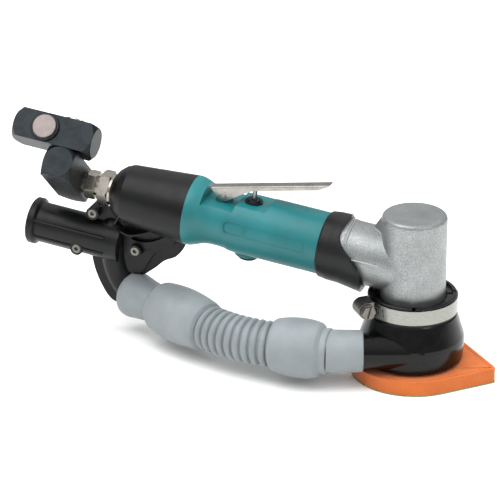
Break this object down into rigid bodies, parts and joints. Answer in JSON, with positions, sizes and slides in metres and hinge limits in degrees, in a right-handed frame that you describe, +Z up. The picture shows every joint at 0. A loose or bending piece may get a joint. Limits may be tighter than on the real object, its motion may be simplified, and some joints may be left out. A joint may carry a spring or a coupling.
{
  "type": "orbital sander",
  "caption": "Air-powered palm-lever orbital sander with a right-angle motor head, pointed orange foam pad, bellows dust hose, rear outlet and swivel air inlet.",
  "frame": {"origin": "where the motor's axis meets the pad's sanding face", "axes": "+X towards the pad's corner and away from the handle, +Z up along the motor's axis, +Y to the tool's left"},
  "size_m": [0.3118, 0.0957, 0.1436],
  "materials": {
    "cast_aluminium": "sand cast and tumbled",
    "steel": "machined",
    "motor_steel": "ground",
    "bearing_steel": "ground",
    "lever_steel": "stamped, satin",
    "nickel_plate": "nickel plated",
    "band_steel": "stamped strip",
    "clamp_steel": "pressed",
    "plug_metal": "turned face",
    "teal_plastic": "moulded, fine grain",
    "black_plastic": "moulded, satin",
    "shroud_rubber": "moulded, glossy",
    "boot_rubber": "moulded, satin",
    "swivel_black": "black anodised aluminium",
    "hose_rubber": "moulded, matte",
    "pad_foam": "open cell foam",
    "pad_facing": "hook facing",
    "backing": "moulded",
    "vane_plastic": "phenolic laminate",
    "seal_rubber": "moulded",
    "brass": "woven and turned"
  },
  "bodies": {
    "pad": {"pad_face": "pad_facing", "pad_foam": "pad_foam", "backing_plate": "backing", "pad_stud": "steel", "pad_spindle": "steel", "spindle_clip": "steel", "pad_bearing_inner": "bearing_steel", "pad_bearing_balls": "bearing_steel"},
    "spindle": {"pad_bearing_outer": "bearing_steel", "shaft_balancer": "steel", "balancer_clip": "steel", "lower_bearing_inner": "bearing_steel", "lower_bearing_balls": "bearing_steel", "upper_bearing_inner": "bearing_steel", "upper_bearing_balls": "bearing_steel", "rotor": "motor_steel", "rotor_vanes": "vane_plastic"},
    "housing": {"lower_bearing_outer": "bearing_steel", "upper_bearing_outer": "bearing_steel", "motor_cylinder": "motor_steel", "lower_end_plate": "motor_steel", "upper_end_plate": "motor_steel", "motor_lock_ring": "steel", "head_casting": "cast_aluminium", "shroud": "shroud_rubber", "clamp_band": "band_steel", "clamp_housing": "clamp_steel", "ring_nut": "cast_aluminium", "front_boot": "boot_rubber", "handle_core": "cast_aluminium", "grip_housing": "teal_plastic", "lever_pin": "steel", "valve_bushing": "swivel_black", "valve_spring": "steel", "adapter_left": "black_plastic", "adapter_right": "black_plastic", "adapter_screws": "clamp_steel", "inlet_bushing": "nickel_plate", "inlet_screen": "brass", "swivel_nipple": "nickel_plate", "nipple_seal": "seal_rubber", "hose_rear_cuff": "hose_rubber", "hose_bellows": "hose_rubber", "hose_front_cuff": "hose_rubber"},
    "clamp_screw": {"clamp_screw": "clamp_steel"},
    "lever": {"throttle_lever": "lever_steel"},
    "valve": {"valve_stem": "steel"},
    "regulator": {"speed_regulator": "black_plastic", "regulator_seal": "seal_rubber"},
    "swivel_block": {"swivel_block": "swivel_black", "swivel_stud": "nickel_plate", "stud_seal": "seal_rubber"},
    "swivel_arm": {"swivel_arm": "swivel_black", "arm_plug": "plug_metal", "arm_snap_ring": "swivel_black"}
  },
  "joints": [
    {"name": "spindle_spin", "type": "hinge", "parent": "housing", "child": "spindle", "pos_m": [0, 0, 0.05], "axis": [0, 0, 1], "continuous": true},
    {"name": "pad_turn", "type": "hinge", "parent": "spindle", "child": "pad", "pos_m": [0.0008, 0, 0.015], "axis": [0, 0, 1], "continuous": true},
    {"name": "lever_hinge", "type": "hinge", "parent": "housing", "child": "lever", "pos_m": [-0.12193, 0, 0.09959], "axis": [0, 1, 0], "range_deg": [0, 12.5], "stiffness_Nm_per_rad": 0.2, "springref_deg": -17.19},
    {"name": "valve_slide", "type": "slide", "parent": "housing", "child": "valve", "axis": [0.1132, 0, 0.9936], "range_m": [-0.0052, 0.0002], "deforming": ["valve_spring"]},
    {"name": "regulator_turn", "type": "hinge", "parent": "housing", "child": "regulator", "pos_m": [-0.10482, 0, 0.08194], "axis": [0.1132, 0, 0.9936], "range_deg": [-90, 90]},
    {"name": "clamp_screw_turn", "type": "hinge", "parent": "housing", "child": "clamp_screw", "pos_m": [-0.02469, -0.02147, 0.0472], "axis": [0.6561, -0.7547, 0], "continuous": true},
    {"name": "block_swivel", "type": "hinge", "parent": "housing", "child": "swivel_block", "pos_m": [-0.22455, 0, 0.09558], "axis": [-0.9936, 0, 0.1132], "range_deg": [-60, 70]},
    {"name": "arm_swivel", "type": "hinge", "parent": "swivel_block", "child": "swivel_arm", "pos_m": [-0.22271, -0.0193, 0.11168], "axis": [0.0867, 0.6428, 0.7611], "range_deg": [-90, 90]}
  ],
  "couplings": [
    {"joint": "pad_turn", "follows": "spindle_spin", "ratio": -1},
    {"joint": "valve_slide", "follows": "lever_hinge", "m_per_rad": -0.0219}
  ]
}
